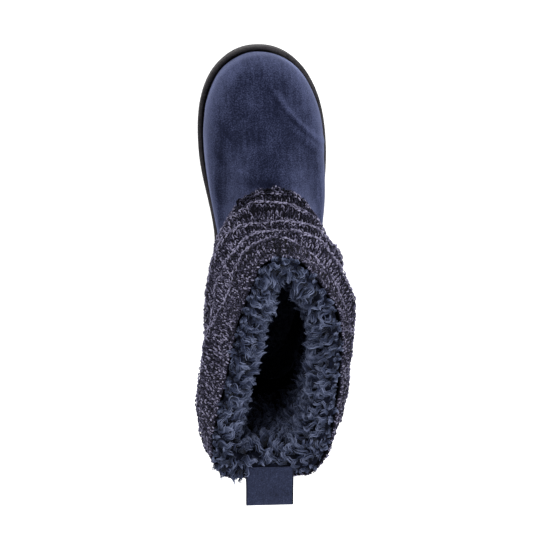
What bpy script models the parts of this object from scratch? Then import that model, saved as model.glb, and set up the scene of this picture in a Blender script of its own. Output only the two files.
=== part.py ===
"""Winter boot for the right foot: suede foot, slouched knit shaft, deep fleece lining, moulded sole and pull tab.

Metres, +Z up, toe towards +Y, lateral side towards +X. The origin is on the floor under the middle of the heel.
"""
import math

import bmesh
import bpy
from mathutils import Vector

# Driving sizes, in metres
LAST_LENGTH = 0.271
LAST_BALL_WIDTH = 0.098
HEEL_CENTRE = 0.036
INSTEP_HEIGHT = 0.070
SHAFT_HEIGHT = 0.244
COLLAR_LENGTH = 0.158
COLLAR_WIDTH = 0.088
SUEDE_WALL = 0.0022
KNIT_WALL = 0.0042
FLEECE_PILE = 0.0220
FLEECE_CROWN = 0.0060
TUFT_RELIEF = 0.0030
FOLD_DEPTH = 0.0085
FOLD_DROOP = 0.45
GAP = 0.0003
SEAT_GAP = 0.0004

# Sole sizes, in metres
SOLE_BALL_THICKNESS = 0.0165
SOLE_HEEL_THICKNESS = 0.0235
TOE_SPRING = 0.0070
ARCH_RISE = 0.0035
LIP_WIDTH = 0.0036
LIP_HEIGHT = 0.0060
LIP_CLEARANCE = 0.0015
SOLE_EDGE_BEVEL = 0.0030
FOXING_STEP = 0.0010
TREAD_DEPTH = 0.0028
TREAD_GROOVE = 0.0040
TREAD_PITCH = 0.0145
TREAD_WAVE = 0.0030
INSOLE_THICKNESS = 0.0050
INSOLE_DISH = 0.0012

# Pull tab sizes, in metres
TAB_WIDTH = 0.0350
TAB_REACH = 0.0210
TAB_PLY = 0.0017
TAB_SEAM_DROP = 0.0160
TAB_OFFSET = -0.0070

COLUMNS = 44
SHAFT_RINGS = 24
LINING_RINGS = 10
TUFTS_PER_ROW = 22

# Where the arch lies and the toe spring starts, as shares of the last's length.
ARCH_START = 0.34
ARCH_END = 0.56
ARCH_EASE = 0.07
SPRING_START = 0.74

# Half widths and sways are shares of the last's ball width, lengths of its length, heights of the instep height.
FOOT_COLUMNS = ("front", "front_high", "back", "back_high", "heel", "waist", "ball", "toe", "sag", "sway", "hold")
FOOT_SECTIONS = (
    (1.000, 0.00, 0.000, 0.00, 0.455, 0.405, 0.533, 0.630, 0.00, 0.00, 1.0),
    (1.003, 0.11, -0.003, 0.12, 0.462, 0.415, 0.540, 0.636, 0.00, 0.00, 1.0),
    (1.005, 0.29, -0.010, 0.27, 0.468, 0.427, 0.548, 0.642, 0.00, 0.00, 1.0),
    (0.995, 0.44, -0.013, 0.42, 0.464, 0.430, 0.540, 0.634, 0.00, 0.00, 1.0),
    (0.962, 0.575, -0.012, 0.55, 0.456, 0.428, 0.520, 0.592, 0.01, 0.00, 1.0),
    (0.905, 0.670, -0.008, 0.65, 0.446, 0.418, 0.480, 0.530, 0.03, 0.00, 1.0),
    (0.825, 0.755, -0.003, 0.74, 0.438, 0.412, 0.440, 0.450, 0.08, 0.01, 1.0),
    (0.725, 0.865, 0.001, 0.82, 0.430, 0.408, 0.415, 0.410, 0.15, 0.02, 0.9),
    (0.622, 1.000, 0.004, 0.90, 0.420, 0.410, 0.415, 0.425, 0.21, 0.04, 0.7),
    (0.588, 1.200, 0.005, 1.10, 0.410, 0.405, 0.410, 0.415, 0.21, 0.04, 0.5),
)
HEM_ROW = 8
SUEDE_TOP_ROW = 9
SUEDE_OVERLAP = 0.12
HEEL_ROUNDNESS = 0.75
TOE_ROUNDNESS = 0.88

# Half widths and sways are shares of the collar's width, lengths of its length, heights of the shaft's.
SHAFT_COLUMNS = ("front", "front_high", "back", "back_high", "heel", "waist", "ball", "toe", "sag", "sway",
                 "twist", "front_round", "back_round")
SHAFT_SECTIONS = (
    (0.950, 0.540, 0.015, 0.505, 0.450, 0.475, 0.495, 0.495, 0.040, 0.015, 0.50, 0.68, 0.50),
    (0.908, 0.700, -0.020, 0.690, 0.500, 0.490, 0.480, 0.470, 0.012, 0.035, 0.80, 0.70, 0.42),
    (0.925, 0.850, -0.045, 0.865, 0.545, 0.505, 0.465, 0.420, 0.000, 0.010, 0.90, 0.84, 0.30),
    (0.956, 0.965, -0.052, 1.000, 0.515, 0.455, 0.425, 0.370, 0.004, 0.008, 1.05, 0.92, 0.27),
)

# Middle line of the foot, from heel to toe: share of the last's length, then of its ball width, towards lateral.
MIDLINE = ((0.0, -0.035), (0.15, -0.030), (0.42, 0.040), (0.70, 0.006), (0.92, -0.023), (1.0, -0.030))

# Middle line of the slack collar, from back to front: share of its run, then of its width, towards lateral.
COLLAR_MIDLINE = ((0.0, -0.045), (0.20, -0.010), (0.45, 0.060), (0.75, 0.110), (1.0, 0.055))

# Slouch folds from the hem to the rim, as shares of the shaft's run and of the fold depth.
FOLD_COLUMNS = ("place", "spread", "depth", "tilt", "lateral")
FOLDS = (
    (0.060, 0.055, 0.25, 0.000, 0.00),
    (0.210, 0.075, 0.75, -0.010, 0.05),
    (0.400, 0.085, 1.05, 0.020, 0.25),
    (0.590, 0.080, 0.90, -0.015, 0.10),
    (0.790, 0.100, 0.95, 0.020, -0.25),
)

# How far the pile reaches in from the shaft's skin, from the hem to the rim, as shares of the fleece pile.
PILE_COLUMNS = ("place", "side", "front", "back", "sway")
PILE = (
    (0.00, 0.38, 0.50, 0.42, 0.00),
    (0.35, 0.60, 0.62, 0.55, 0.04),
    (0.72, 0.96, 0.82, 0.90, 0.14),
    (0.90, 0.90, 0.80, 0.86, 0.12),
    (1.00, 0.72, 0.66, 0.74, 0.05),
)


def colour_material(name, colour, roughness):
    """A plain Principled BSDF in the part's colour."""
    material = bpy.data.materials.new(name)
    material.use_nodes = True
    shader = material.node_tree.nodes["Principled BSDF"]
    shader.inputs["Base Color"].default_value = (*colour, 1.0)
    shader.inputs["Roughness"].default_value = roughness
    shader.inputs["Metallic"].default_value = 0.0
    material.diffuse_color = (*colour, 1.0)
    return material


def smooth(share):
    """An eased step from 0 to 1."""
    held = min(max(share, 0.0), 1.0)
    return held * held * (3.0 - 2.0 * held)


def mix(low, high, share):
    return low + (high - low) * share


def curve_through(points, place):
    """A smooth curve through (place, value) points, read at one place."""
    last = len(points) - 1
    index = 0
    while index < last - 1 and place > points[index + 1][0]:
        index += 1
    (x0, y0), (x1, y1) = points[index], points[index + 1]
    before = points[max(index - 1, 0)]
    after = points[min(index + 2, last)]
    slope_in = (y1 - before[1]) / (x1 - before[0])
    slope_out = (after[1] - y0) / (after[0] - x0)
    span = x1 - x0
    t = (place - x0) / span
    square, cube = t * t, t * t * t
    return (
        (2 * cube - 3 * square + 1) * y0
        + (cube - 2 * square + t) * span * slope_in
        + (3 * square - 2 * cube) * y1
        + (cube - square) * span * slope_out
    )


def along_last(y):
    """The share of the last's length at a lengthwise place."""
    return (y + HEEL_CENTRE) / LAST_LENGTH


def midline(y):
    share = min(max(along_last(y), 0.0), 1.0)
    return curve_through(MIDLINE, share) * LAST_BALL_WIDTH


def toe_lift(y):
    """How far the toe spring lifts the sole."""
    return TOE_SPRING * max(0.0, (along_last(y) - SPRING_START) / (1.0 - SPRING_START)) ** 2


def arch_lift(y):
    share = along_last(y)
    return ARCH_RISE * smooth((share - ARCH_START) / ARCH_EASE) * smooth((ARCH_END - share) / ARCH_EASE)


def tray_level(y):
    """Height of the sole's inner floor, on which the upper and the insole stand."""
    rise = smooth((along_last(y) - 0.22) / 0.42)
    return mix(SOLE_HEEL_THICKNESS, SOLE_BALL_THICKNESS, rise) + toe_lift(y)


def foot_ring(row):
    """A foot section in metres. hold is how closely it follows the sole and the foot's middle line."""
    values = dict(zip(FOOT_COLUMNS, row))
    ring = {name: values[name] * LAST_LENGTH - HEEL_CENTRE for name in ("front", "back")}
    ring.update({name: values[name] * INSTEP_HEIGHT for name in ("front_high", "back_high", "sag")})
    ring.update({name: values[name] * LAST_BALL_WIDTH for name in ("heel", "waist", "ball", "toe", "sway")})
    ring.update(
        front_round=TOE_ROUNDNESS,
        back_round=HEEL_ROUNDNESS * mix(0.75, 1.0, values["hold"]),
        hold=values["hold"],
        on_sole=1.0,
        twist=0.0,
    )
    return ring


def shaft_ring(row):
    """A shaft section in metres. Its lengths are taken from over the back of the last."""
    values = dict(zip(SHAFT_COLUMNS, row))
    ring = {name: values[name] * COLLAR_LENGTH - HEEL_CENTRE for name in ("front", "back")}
    ring.update({name: values[name] * SHAFT_HEIGHT for name in ("front_high", "back_high", "sag")})
    ring.update({name: values[name] * COLLAR_WIDTH for name in ("heel", "waist", "ball", "toe", "sway")})
    ring.update(
        front_round=values["front_round"],
        back_round=values["back_round"],
        hold=0.0,
        on_sole=0.0,
        twist=values["twist"],
    )
    return ring


RINGS = [foot_ring(row) for row in FOOT_SECTIONS] + [shaft_ring(row) for row in SHAFT_SECTIONS]
RIM_ROW = len(RINGS) - 1


def section(row):
    """The sizes of the section at a row, which may lie between two."""
    low = min(max(int(row), 0), RIM_ROW - 1)
    found = {}
    for name in RINGS[0]:
        near = [(index, RINGS[index][name]) for index in range(max(low - 1, 0), min(low + 3, RIM_ROW + 1))]
        found[name] = curve_through(near, row)
    return found


def ring_point(ring, turn):
    """A point of a section. turn runs from the back (0) by the lateral side to the front (pi) and round."""
    share = (1.0 - math.cos(turn)) / 2.0
    y = mix(ring["back"], ring["front"], share)
    widths = (
        (0.0, ring["heel"]),
        (0.15, ring["heel"]),
        (0.42, ring["waist"]),
        (0.70, ring["ball"]),
        (0.92, ring["toe"]),
        (1.0, ring["toe"]),
    )
    aside = abs(math.sin(turn))
    half = curve_through(widths, share) * aside ** mix(ring["back_round"], ring["front_round"], share)
    side = 1.0 if math.sin(turn) >= 0.0 else -1.0
    middle = mix(midline(0.0), midline(y), ring["hold"]) + ring["sway"]
    middle += ring["twist"] * COLLAR_WIDTH * curve_through(COLLAR_MIDLINE, share)
    floor = ring["on_sole"] * mix(tray_level(0.0), tray_level(y), ring["hold"])
    high = mix(ring["back_high"], ring["front_high"], share) - ring["sag"] * aside * aside
    return Vector((middle + side * half, y, floor + high))


def skin_point(row, turn):
    """A point of the boot's base skin, which the suede, the knit and the lining share."""
    return ring_point(section(row), turn)


def skin_normal(row, turn):
    """The skin's outward direction."""
    step_row, step_turn = 0.08, 0.04
    down = skin_point(max(row - step_row, 0.0), turn)
    up = skin_point(min(row + step_row, RIM_ROW), turn)
    near = skin_point(row, turn - step_turn)
    far = skin_point(row, turn + step_turn)
    return (far - near).cross(up - down).normalized()


def offset_skin(row, turn, offset):
    return skin_point(row, turn) + skin_normal(row, turn) * offset


def turn_of(column):
    return 2.0 * math.pi * column / COLUMNS


def ring_points(point_at):
    """One closed ring of points, from a function of the turn."""
    return [point_at(turn_of(column)) for column in range(COLUMNS)]


def loft(name, rings, closed=False):
    """A mesh object through rings of points. A closed loft joins its last ring to its first."""
    mesh = bpy.data.meshes.new(name)
    bm = bmesh.new()
    rows = [[bm.verts.new(point) for point in ring] for ring in rings]
    pairs = list(zip(rows, rows[1:]))
    if closed:
        pairs.append((rows[-1], rows[0]))
    for lower, upper in pairs:
        for column in range(COLUMNS):
            after = (column + 1) % COLUMNS
            bm.faces.new((lower[column], lower[after], upper[after], upper[column]))
    bm.to_mesh(mesh)
    bm.free()
    part = bpy.data.objects.new(name, mesh)
    part.data.shade_smooth()
    BOOT.objects.link(part)
    return part


def close_with_ladder(part, ring_index, facing_up):
    """Closes one ring of a loft with faces that run from side to side at each lengthwise place."""
    bm = bmesh.new()
    bm.from_mesh(part.data)
    bm.verts.ensure_lookup_table()
    first = ring_index * COLUMNS
    ring = [bm.verts[first + column] for column in range(COLUMNS)]
    half = COLUMNS // 2
    for step in range(half):
        right = (ring[step], ring[step + 1])
        left = (ring[(COLUMNS - step) % COLUMNS], ring[COLUMNS - step - 1])
        corners = [right[0], right[1], left[1], left[0]]
        corners = list(dict.fromkeys(corners))
        bm.faces.new(corners if facing_up else corners[::-1])
    bm.to_mesh(part.data)
    bm.free()


def solidify(part, thickness, offset):
    wall = part.modifiers.new("wall", "SOLIDIFY")
    wall.thickness = thickness
    wall.offset = offset
    wall.use_even_offset = True
    wall.use_quality_normals = True


def make_upper():
    """The suede foot, open underneath and where the shaft begins."""
    rows = list(range(SUEDE_TOP_ROW + 1))
    rings = [ring_points(lambda turn, row=row: skin_point(row, turn)) for row in rows]
    for point in rings[0]:
        point.z += SEAT_GAP
    upper = loft("upper", rings)
    solidify(upper, SUEDE_WALL, -1.0)
    upper.data.materials.append(colour_material("suede", (0.030, 0.038, 0.085), 0.9))
    return upper


def fold_bulge(share, turn):
    """How far the knit stands out from the skin, at a share of the way from hem to rim."""
    out = 0.0
    for row in FOLDS:
        fold = dict(zip(FOLD_COLUMNS, row))
        place = fold["place"] - fold["tilt"] * math.cos(turn)
        depth = fold["depth"] + fold["lateral"] * math.sin(turn)
        out += depth * math.exp(-(((share - place) / fold["spread"]) ** 2))
    return FOLD_DEPTH * out


def knit_point(share, turn):
    """The knit's inner face, folded outwards and hanging down a little over each fold."""
    row = mix(HEM_ROW, RIM_ROW, share)
    bulge = fold_bulge(share, turn)
    point = skin_point(row, turn) + skin_normal(row, turn) * (GAP + bulge)
    point.z -= FOLD_DROOP * bulge * smooth(share / 0.1) * smooth((1.0 - share) / 0.1)
    return point


def make_knit_shaft():
    shares = [step / (SHAFT_RINGS - 1) for step in range(SHAFT_RINGS)]
    rings = [ring_points(lambda turn, share=share: knit_point(share, turn)) for share in shares]
    shaft = loft("knit_shaft", rings)
    solidify(shaft, KNIT_WALL, 1.0)
    shaft.data.materials.append(colour_material("marled_knit", (0.055, 0.052, 0.075), 0.95))
    return shaft


def lining_back(row):
    """How far the lining's outer face lies inside the skin: behind the suede below, behind the knit above."""
    behind_suede = SUEDE_WALL + 3.0 * GAP
    return mix(behind_suede, GAP, smooth((row - SUEDE_TOP_ROW - SUEDE_OVERLAP) / 0.5))


def tuft(ring_index, turn):
    """Staggered rows of fleece locks, raised from the pile."""
    stagger = math.pi * (ring_index % 2)
    return TUFT_RELIEF * (0.5 + 0.5 * math.cos(TUFTS_PER_ROW * turn + stagger))


def pile_point(place, turn, depth, lock):
    """A point in the pile: depth 0 lies on the lining's back and 1 on its face, and lock raises it from there."""
    row = mix(HEM_ROW, RIM_ROW, place)
    reach = {
        name: FLEECE_PILE * curve_through([(line[0], line[index]) for line in PILE], place)
        for index, name in enumerate(PILE_COLUMNS)
        if index > 0
    }
    ring = section(row)
    for name in ("heel", "waist", "ball", "toe"):
        ring[name] -= depth * reach["side"] + lock
    ring["front"] -= depth * reach["front"] + lock
    ring["back"] += depth * reach["back"] + lock
    ring["sway"] += depth * reach["sway"]
    return ring_point(ring, turn)


def make_lining():
    """The fleece inside the shaft: smooth at its back, locks of pile on its face, and a crown over the rim."""
    above = SUEDE_TOP_ROW + SUEDE_OVERLAP
    rows = [HEM_ROW, HEM_ROW + 0.5, SUEDE_TOP_ROW]
    rows += [mix(above, RIM_ROW, step / (LINING_RINGS - 1)) for step in range(LINING_RINGS)]
    places = [(row - HEM_ROW) / (RIM_ROW - HEM_ROW) for row in rows]
    outer = [ring_points(lambda turn, row=row: offset_skin(row, turn, -lining_back(row))) for row in rows]
    inner = [
        ring_points(lambda turn, place=place, index=index: pile_point(place, turn, 1.0, tuft(index, turn)))
        for index, place in enumerate(places)
    ]
    crown = []
    for index, (depth, rise) in enumerate(((0.08, 0.70), (0.40, 1.00), (0.78, 0.65))):
        def crown_point(turn, depth=depth, rise=rise, index=index):
            point = pile_point(1.0, turn, depth, GAP)
            point.z += rise * FLEECE_CROWN + 0.5 * tuft(index, turn)
            return point
        crown.append(ring_points(crown_point))
    lining = loft("fleece_lining", outer + crown + inner[::-1], closed=True)
    lining.data.materials.append(colour_material("fleece", (0.045, 0.055, 0.105), 1.0))
    return lining


def plan_point(turn, outward):
    """A point of the last's bottom outline, moved outwards in plan."""
    step = 0.03
    point = skin_point(0.0, turn)
    along = skin_point(0.0, turn + step) - skin_point(0.0, turn - step)
    normal = Vector((along.y, -along.x, 0.0)).normalized()
    moved = point + normal * outward
    moved.z = 0.0
    return moved


def sole_ring(outward, height_at):
    """A ring of the sole, outward from the last's outline, at the height that a function gives for its place."""
    points = ring_points(lambda turn: plan_point(turn, outward))
    for point in points:
        point.z = height_at(point.y)
    return points


def sole_bottom(y):
    return arch_lift(y) + toe_lift(y)


def wave_cutter(name, y):
    """A cutter for one wavy groove across the tread."""
    reach = LAST_BALL_WIDTH
    steps = 6
    bm = bmesh.new()
    top = sole_bottom(y) + TREAD_DEPTH
    bottom = sole_bottom(y) - 3.0 * TREAD_DEPTH
    corners = []
    for step in range(steps + 1):
        x = mix(-reach, reach, step / steps) + midline(y)
        centre = y + TREAD_WAVE * (0.0 if step % 2 else -2.0)
        for dy in (-TREAD_GROOVE / 2, TREAD_GROOVE / 2):
            for z in (bottom, top):
                corners.append(bm.verts.new((x, centre + dy, z)))
    for step in range(steps):
        a, b, c, d = corners[4 * step:4 * step + 4]
        e, f, g, h = corners[4 * step + 4:4 * step + 8]
        for face in ((a, e, f, b), (c, d, h, g), (b, f, h, d), (a, c, g, e)):
            bm.faces.new(face)
    a, b, c, d = corners[:4]
    e, f, g, h = corners[-4:]
    bm.faces.new((a, b, d, c))
    bm.faces.new((e, g, h, f))
    bmesh.ops.recalc_face_normals(bm, faces=bm.faces)
    mesh = bpy.data.meshes.new(name)
    bm.to_mesh(mesh)
    bm.free()
    cutter = bpy.data.objects.new(name, mesh)
    cutter.hide_render = True
    cutter.display_type = "WIRE"
    CUTTERS.objects.link(cutter)
    return cutter


def tread_places():
    """Lengthwise places of the grooves, half a pitch to each side of the heel's middle, none under the arch."""
    behind = int(HEEL_CENTRE / TREAD_PITCH)
    ahead = int((LAST_LENGTH - HEEL_CENTRE) / TREAD_PITCH)
    places = [(index + 0.5) * TREAD_PITCH for index in range(-behind, ahead)]
    return [y for y in places if not ARCH_START < along_last(y) < ARCH_END]


def make_outsole():
    """The moulded sole: tread, foxing with a step round its side, lip and the tray inside it."""
    ledge = LIP_WIDTH + LIP_CLEARANCE
    step_low = 0.45
    rings = [
        sole_ring(ledge - SOLE_EDGE_BEVEL, sole_bottom),
        sole_ring(ledge - FOXING_STEP, lambda y: sole_bottom(y) + SOLE_EDGE_BEVEL),
        sole_ring(ledge - FOXING_STEP, lambda y: mix(sole_bottom(y), tray_level(y), step_low)),
        sole_ring(ledge, lambda y: mix(sole_bottom(y), tray_level(y), step_low) + FOXING_STEP),
        sole_ring(ledge, lambda y: tray_level(y) + 0.8 * LIP_HEIGHT),
        sole_ring(ledge - 0.3 * LIP_WIDTH, lambda y: tray_level(y) + LIP_HEIGHT),
        sole_ring(ledge - 0.85 * LIP_WIDTH, lambda y: tray_level(y) + LIP_HEIGHT),
        sole_ring(LIP_CLEARANCE, lambda y: tray_level(y) + 0.8 * LIP_HEIGHT),
        sole_ring(LIP_CLEARANCE, tray_level),
    ]
    sole = loft("outsole", rings)
    close_with_ladder(sole, 0, facing_up=False)
    close_with_ladder(sole, len(rings) - 1, facing_up=True)
    for index, y in enumerate(tread_places()):
        cut = sole.modifiers.new(f"groove_{index}", "BOOLEAN")
        cut.object = wave_cutter(f"groove_cutter_{index}", y)
        cut.operation = "DIFFERENCE"
    sole.data.materials.append(colour_material("rubber", (0.018, 0.018, 0.020), 0.7))
    return sole


def make_insole():
    """The footbed, dished towards its middle, just inside the suede wall."""
    inset = SUEDE_WALL + 2.0 * SEAT_GAP

    def level(share):
        return lambda y: tray_level(y) + SEAT_GAP + share * INSOLE_THICKNESS

    rings = [
        sole_ring(-inset, level(0.0)),
        sole_ring(-inset, level(0.8)),
        sole_ring(-inset - 0.2 * INSOLE_THICKNESS, level(1.0)),
        sole_ring(-inset - 2.0 * INSOLE_THICKNESS, lambda y: level(1.0)(y) - INSOLE_DISH),
    ]
    insole = loft("insole", rings)
    close_with_ladder(insole, 0, facing_up=False)
    close_with_ladder(insole, len(rings) - 1, facing_up=True)
    insole.data.materials.append(colour_material("footbed", (0.030, 0.035, 0.060), 1.0))
    return insole


def make_pull_tab():
    """A suede strap folded double behind the collar, one ply on the rim and one sewn down the knit's back."""
    rim = knit_point(1.0, 0.0)
    back = rim.y - KNIT_WALL
    over = rim.z + 2.0 * GAP
    line = [knit_point(1.0 - 0.01 * step, 0.0) for step in range(20)]
    behind = min(point.y for point in line if point.z > over - TAB_SEAM_DROP)
    seam_y = behind - KNIT_WALL - 2.0 * GAP
    end = seam_y - TAB_REACH
    fold = TAB_PLY
    profile = (
        (rim.y - 0.15 * KNIT_WALL, over),
        (rim.y - 0.15 * KNIT_WALL, over + TAB_PLY),
        (back, over + 1.25 * TAB_PLY),
        (mix(seam_y, end, 0.5), over + 0.9 * TAB_PLY),
        (end + fold, over + 0.3 * TAB_PLY),
        (end + 0.3 * fold, over - 0.1 * TAB_PLY),
        (end, over - 0.7 * TAB_PLY),
        (end + 0.3 * fold, over - 1.3 * TAB_PLY),
        (end + fold, over - 1.7 * TAB_PLY),
        (mix(seam_y, end, 0.5), over - 1.15 * TAB_PLY),
        (seam_y - 1.9 * TAB_PLY, over - 1.4 * TAB_PLY),
        (seam_y - TAB_PLY, over - 2.6 * TAB_PLY),
        (seam_y - TAB_PLY, over - TAB_SEAM_DROP),
        (seam_y, over - TAB_SEAM_DROP),
        (seam_y, over - 2.2 * TAB_PLY),
        (seam_y - 0.35 * TAB_PLY, over - 0.3 * TAB_PLY),
        (back, over + 0.1 * TAB_PLY),
    )
    curve = bpy.data.curves.new("pull_tab", "CURVE")
    curve.dimensions = "2D"
    curve.fill_mode = "BOTH"
    curve.extrude = TAB_WIDTH / 2.0
    spline = curve.splines.new("POLY")
    spline.points.add(len(profile) - 1)
    for point, (y, z) in zip(spline.points, profile):
        point.co = (y, z, 0.0, 1.0)
    spline.use_cyclic_u = True
    tab = bpy.data.objects.new("pull_tab", curve)
    tab.rotation_euler = (math.pi / 2.0, 0.0, math.pi / 2.0)
    tab.location = (TAB_OFFSET, 0.0, 0.0)
    curve.materials.append(colour_material("tab_suede", (0.034, 0.042, 0.085), 0.9))
    BOOT.objects.link(tab)
    return tab


def clear_scene():
    for old in list(bpy.data.objects):
        bpy.data.objects.remove(old)


def new_collection(name):
    collection = bpy.data.collections.new(name)
    bpy.context.scene.collection.children.link(collection)
    return collection


clear_scene()
BOOT = new_collection("knit_shaft_boot")
CUTTERS = new_collection("cutters")
make_outsole()
make_insole()
make_upper()
make_knit_shaft()
make_lining()
make_pull_tab()
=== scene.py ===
"""The look of a right winter boot: suede foot, slouched knit shaft, curly fleece, rubber sole and pull tab.

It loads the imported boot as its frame, in metres, toe towards +Y, and dresses it.
"""
import math

import bmesh
import bpy
import numpy as np
from mathutils import Matrix, Vector


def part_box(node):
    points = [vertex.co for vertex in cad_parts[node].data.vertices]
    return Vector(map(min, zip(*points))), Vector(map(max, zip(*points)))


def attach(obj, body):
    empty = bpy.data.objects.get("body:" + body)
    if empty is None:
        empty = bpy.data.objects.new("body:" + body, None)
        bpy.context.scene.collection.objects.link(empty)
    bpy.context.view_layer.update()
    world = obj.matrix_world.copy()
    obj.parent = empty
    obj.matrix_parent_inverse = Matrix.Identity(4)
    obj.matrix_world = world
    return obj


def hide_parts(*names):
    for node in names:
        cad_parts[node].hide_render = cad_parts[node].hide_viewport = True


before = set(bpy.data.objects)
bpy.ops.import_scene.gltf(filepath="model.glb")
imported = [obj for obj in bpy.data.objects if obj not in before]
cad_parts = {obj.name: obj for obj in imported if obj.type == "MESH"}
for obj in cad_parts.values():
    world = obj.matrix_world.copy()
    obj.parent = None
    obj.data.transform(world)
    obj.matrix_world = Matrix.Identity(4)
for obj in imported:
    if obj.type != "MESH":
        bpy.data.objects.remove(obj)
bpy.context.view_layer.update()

# Sizes of the boot's own solids, in metres. The droop is a share of how far a fold stands out
LAST_LENGTH = 0.271
LAST_BALL_WIDTH = 0.098
HEEL_CENTRE = 0.036
INSTEP_HEIGHT = 0.070
SHAFT_HEIGHT = 0.244
COLLAR_LENGTH = 0.158
COLLAR_WIDTH = 0.088
SUEDE_WALL = 0.0022
KNIT_WALL = 0.0042
FLEECE_PILE = 0.0220
FLEECE_CROWN = 0.0060
FOLD_DEPTH = 0.0085
FOLD_DROOP = 0.45
GAP = 0.0003
SEAT_GAP = 0.0004
SOLE_BALL_THICKNESS = 0.0165
SOLE_HEEL_THICKNESS = 0.0235
TOE_SPRING = 0.0070
ARCH_RISE = 0.0035
LIP_WIDTH = 0.0036
LIP_HEIGHT = 0.0060
LIP_CLEARANCE = 0.0015
SOLE_EDGE_BEVEL = 0.0030
FOXING_STEP = 0.0010
TREAD_DEPTH = 0.0028
TREAD_GROOVE = 0.0040
TREAD_PITCH = 0.0145
TREAD_WAVE = 0.0030
TAB_WIDTH = 0.0350
TAB_PLY = 0.0017
TAB_OFFSET = -0.0070

# The tab's sewn end and cut edges, in metres, and how much darker those edges and its folded end are; at the
# folded end it is painted shade
TAB_FORWARD = 0.0060
TAB_SEWN_END = 0.0062
TAB_CUT_EDGE = 0.0010
TAB_EDGE_SHADE = 0.34

# Sections of the foot and of the shaft, as shares of the sizes above
COLUMNS = ("front", "front_high", "back", "back_high", "heel", "waist", "ball", "toe", "sag", "sway")
FOOT_COLUMNS = COLUMNS + ("hold",)
FOOT_SECTIONS = (
    (1.000, 0.00, 0.000, 0.00, 0.455, 0.405, 0.533, 0.630, 0.00, 0.00, 1.0),
    (1.003, 0.11, -0.003, 0.12, 0.462, 0.415, 0.540, 0.636, 0.00, 0.002, 1.0),
    (1.005, 0.29, -0.010, 0.27, 0.468, 0.427, 0.548, 0.642, 0.00, 0.005, 1.0),
    (0.995, 0.44, -0.013, 0.42, 0.464, 0.430, 0.540, 0.634, 0.00, 0.006, 1.0),
    (0.962, 0.575, -0.012, 0.55, 0.456, 0.428, 0.520, 0.592, 0.01, 0.007, 1.0),
    (0.905, 0.670, -0.008, 0.65, 0.446, 0.418, 0.480, 0.530, 0.03, 0.010, 1.0),
    (0.825, 0.755, -0.003, 0.74, 0.438, 0.412, 0.440, 0.450, 0.08, 0.018, 1.0),
    (0.725, 0.865, 0.001, 0.82, 0.430, 0.408, 0.415, 0.410, 0.15, 0.025, 0.9),
    (0.622, 1.000, 0.004, 0.90, 0.420, 0.410, 0.415, 0.425, 0.21, 0.04, 0.7),
    (0.588, 1.200, 0.005, 1.10, 0.410, 0.405, 0.410, 0.415, 0.21, 0.04, 0.5),
)
SHAFT_COLUMNS = COLUMNS + ("twist", "front_round", "back_round")
SHAFT_SECTIONS = (
    (0.950, 0.540, 0.015, 0.505, 0.450, 0.475, 0.495, 0.495, 0.040, 0.015, 0.50, 0.68, 0.50),
    (0.908, 0.700, -0.020, 0.690, 0.500, 0.490, 0.480, 0.470, 0.012, 0.035, 0.80, 0.70, 0.42),
    (0.925, 0.850, -0.045, 0.865, 0.545, 0.505, 0.465, 0.420, 0.000, 0.010, 0.90, 0.84, 0.30),
    (0.956, 0.965, -0.052, 1.000, 0.525, 0.455, 0.425, 0.370, 0.004, 0.008, 1.05, 0.92, 0.24),
)
WIDTHS = ("heel", "waist", "ball", "toe", "sway")
HEM_ROW = 8
SUEDE_TOP_ROW = 9
RIM_ROW = 13
HEEL_ROUNDNESS = 0.75
TOE_ROUNDNESS = 0.88
ARCH_START = 0.34
ARCH_END = 0.56
ARCH_EASE = 0.07
TRAY_DROP_START = 0.22
TRAY_DROP_RUN = 0.42
SPRING_START = 0.74
MIDLINE = ((0.0, -0.035), (0.15, -0.030), (0.42, 0.040), (0.70, 0.006), (0.92, -0.023), (1.0, -0.030))
COLLAR_MIDLINE = ((0.0, -0.070), (0.20, -0.018), (0.45, 0.060), (0.75, 0.110), (1.0, 0.055))
WIDTH_PLACES = (0.0, 0.15, 0.42, 0.70, 0.92, 1.0)
PILE_COLUMNS = ("place", "side", "front", "back", "sway")
PILE = (
    (0.00, 0.38, 0.50, 0.42, 0.00),
    (0.35, 0.66, 0.62, 0.60, -0.02),
    (0.72, 1.06, 0.82, 1.00, 0.04),
    (0.90, 1.00, 0.80, 1.02, 0.02),
    (1.00, 0.80, 0.66, 0.88, -0.03),
)

# Slouch folds from the hem to the rim, tighter than the solids' own, and wandering a little round the shaft.
# lateral: how much deeper on that side. slouch: how much deeper at the front quarters
FOLD_COLUMNS = ("place", "spread", "depth", "tilt", "lateral", "slouch", "wander", "phase")
FOLDS = (
    (0.070, 0.060, 0.30, 0.000, 0.00, 0.00, 0.004, 0.3),
    (0.250, 0.052, 0.74, 0.035, 0.05, 0.10, 0.010, 1.1),
    (0.425, 0.050, 0.98, 0.060, 0.24, 0.10, 0.012, 2.6),
    (0.600, 0.050, 1.05, 0.045, 0.12, 0.10, 0.014, 4.0),
    (0.795, 0.090, 1.00, 0.025, -0.25, -0.45, 0.010, 5.2),
)
SLOUCH_TURN = 0.90
SLOUCH_SPREAD = 0.45

# How finely each surface is sampled
ROUND = 720
SKIN_STEPS = 24
KNIT_STEPS = 420
PILE_STEPS = 160

# The share of each closed sleeve that is its face; the rest is its back
SUEDE_SHARE = 0.8
KNIT_SHARE = 0.75
PILE_SHARE = 0.7

# Creases of the suede in plan, in metres: start, end, trough depth, ridge height, width
CREASES = (
    ((0.004, 0.210), (0.050, 0.160), 0.0005, 0.0012, 0.0021),
    ((0.020, 0.176), (0.052, 0.150), 0.0004, 0.0004, 0.0040),
    ((-0.050, 0.190), (-0.030, 0.150), 0.0005, 0.0003, 0.0050),
    ((-0.020, 0.140), (0.030, 0.137), 0.0006, 0.0004, 0.0045),
)
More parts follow.
